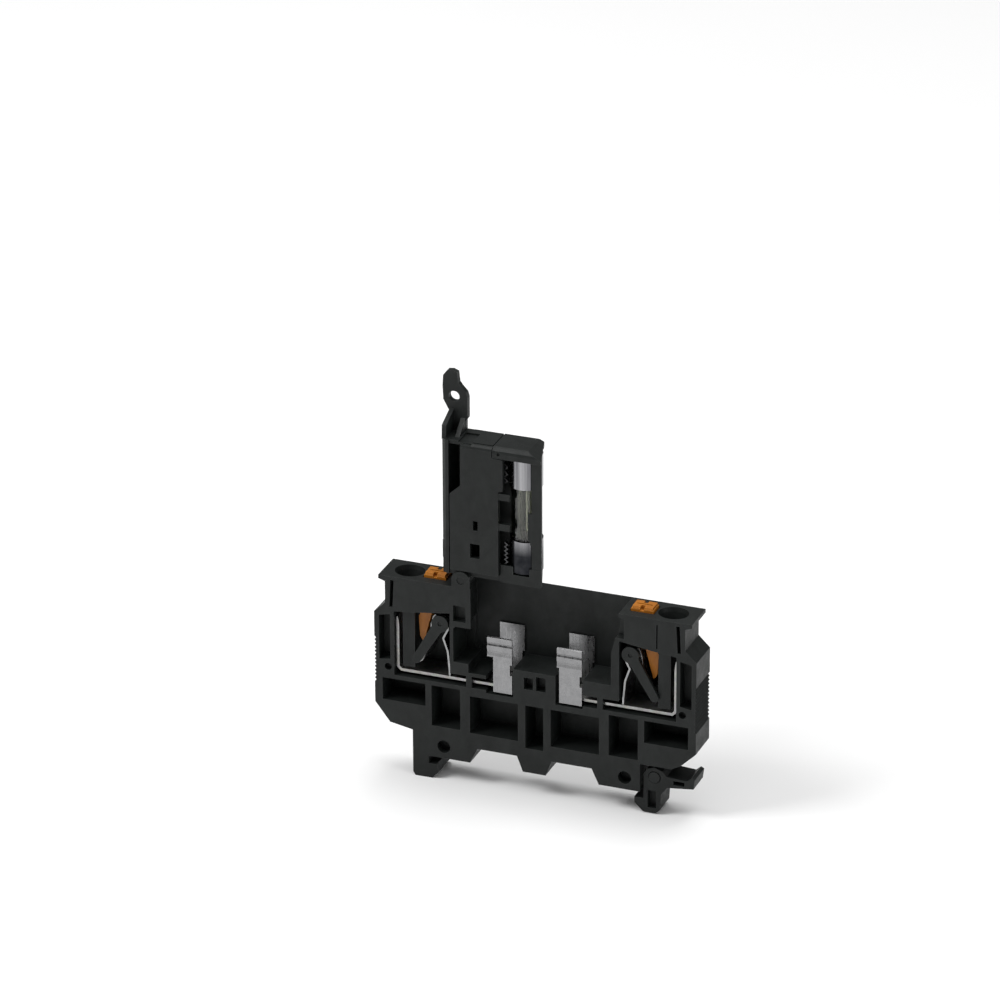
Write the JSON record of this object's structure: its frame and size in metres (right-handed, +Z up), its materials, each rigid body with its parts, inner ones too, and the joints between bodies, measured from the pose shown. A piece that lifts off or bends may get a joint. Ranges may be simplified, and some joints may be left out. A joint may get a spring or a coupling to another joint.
{
  "type": "fuse terminal block",
  "caption": "Slim rail-mounted push-in fuse terminal block with orange release buttons and a raised swing lever that carries a small glass cartridge fuse.",
  "frame": {"origin": "centre of the face that sits on the 35 mm rail, halfway through the slice's thickness", "axes": "+X along the slice from the lever's hinge end to the other wire entry, +Y through the thickness towards the closed side, +Z up from the rail to the wire entries"},
  "size_m": [0.0532, 0.0062, 0.0681],
  "materials": {
    "black_plastic": "satin, fine spark-eroded texture",
    "orange_plastic": "satin",
    "spring_steel": "bright rolled strip",
    "dark_steel": "darkened spring strip",
    "tinned_copper": "matte tin plate over copper",
    "tinned_contact": "bright tin plate",
    "nickel_cap": "bright nickel plate",
    "solder": "dull solder",
    "fuse_element": "fine drawn wire",
    "glass": "clear, slightly grey-green",
    "clear_plastic": "smoky translucent"
  },
  "bodies": {
    "block": {"housing": "black_plastic", "lever_pivot_pin": "black_plastic", "clamp_spring_left": "spring_steel", "clamp_spring_right": "spring_steel", "current_bar_left": "tinned_copper", "current_bar_right": "tinned_copper", "fuse_clip_left": "tinned_contact", "fuse_clip_right": "tinned_contact"},
    "lever": {"lever_frame": "black_plastic", "lever_side_plate": "black_plastic", "indicator_contact_upper": "dark_steel", "indicator_contact_lower": "dark_steel", "indicator_window": "clear_plastic", "fuse_glass_tube": "glass", "fuse_cap_upper": "nickel_cap", "fuse_cap_lower": "nickel_cap", "fuse_solder_upper": "solder", "fuse_solder_lower": "solder", "fuse_wire": "fuse_element"},
    "button_left": {"button_left": "orange_plastic"},
    "button_right": {"button_right": "orange_plastic"},
    "clamp_leg_left": {"clamp_leg_left": "spring_steel", "release_arm_left": "black_plastic"},
    "clamp_leg_right": {"clamp_leg_right": "spring_steel", "release_arm_right": "black_plastic"},
    "rail_latch": {"rail_latch": "black_plastic"}
  },
  "joints": [
    {"name": "lever_hinge", "type": "hinge", "parent": "block", "child": "lever", "pos_m": [-0.01209, 0, 0.0312], "axis": [0, 1, 0], "range_deg": [0, 90]},
    {"name": "button_left_slide", "type": "slide", "parent": "block", "child": "button_left", "axis": [0, 0, -1], "range_m": [0, 0.0025], "stiffness_N_per_m": 1500, "springref_m": -0.0006},
    {"name": "button_right_slide", "type": "slide", "parent": "block", "child": "button_right", "axis": [0, 0, -1], "range_m": [0, 0.0025], "stiffness_N_per_m": 1500, "springref_m": -0.0006},
    {"name": "clamp_leg_left_hinge", "type": "hinge", "parent": "block", "child": "clamp_leg_left", "pos_m": [-0.01569, 0, 0.02305], "axis": [0, -1, 0], "range_deg": [0, 12]},
    {"name": "clamp_leg_right_hinge", "type": "hinge", "parent": "block", "child": "clamp_leg_right", "pos_m": [0.01569, 0, 0.02305], "axis": [0, 1, 0], "range_deg": [0, 12]},
    {"name": "rail_latch_hinge", "type": "hinge", "parent": "block", "child": "rail_latch", "pos_m": [0.01962, 0, 0.0026], "axis": [0, -1, 0], "range_deg": [0, 12], "stiffness_Nm_per_rad": 0.2, "springref_deg": -1.15}
  ],
  "couplings": [
    {"joint": "clamp_leg_left_hinge", "follows": "button_left_slide", "rad_per_m": 83.77},
    {"joint": "clamp_leg_right_hinge", "follows": "button_right_slide", "rad_per_m": 83.77}
  ]
}
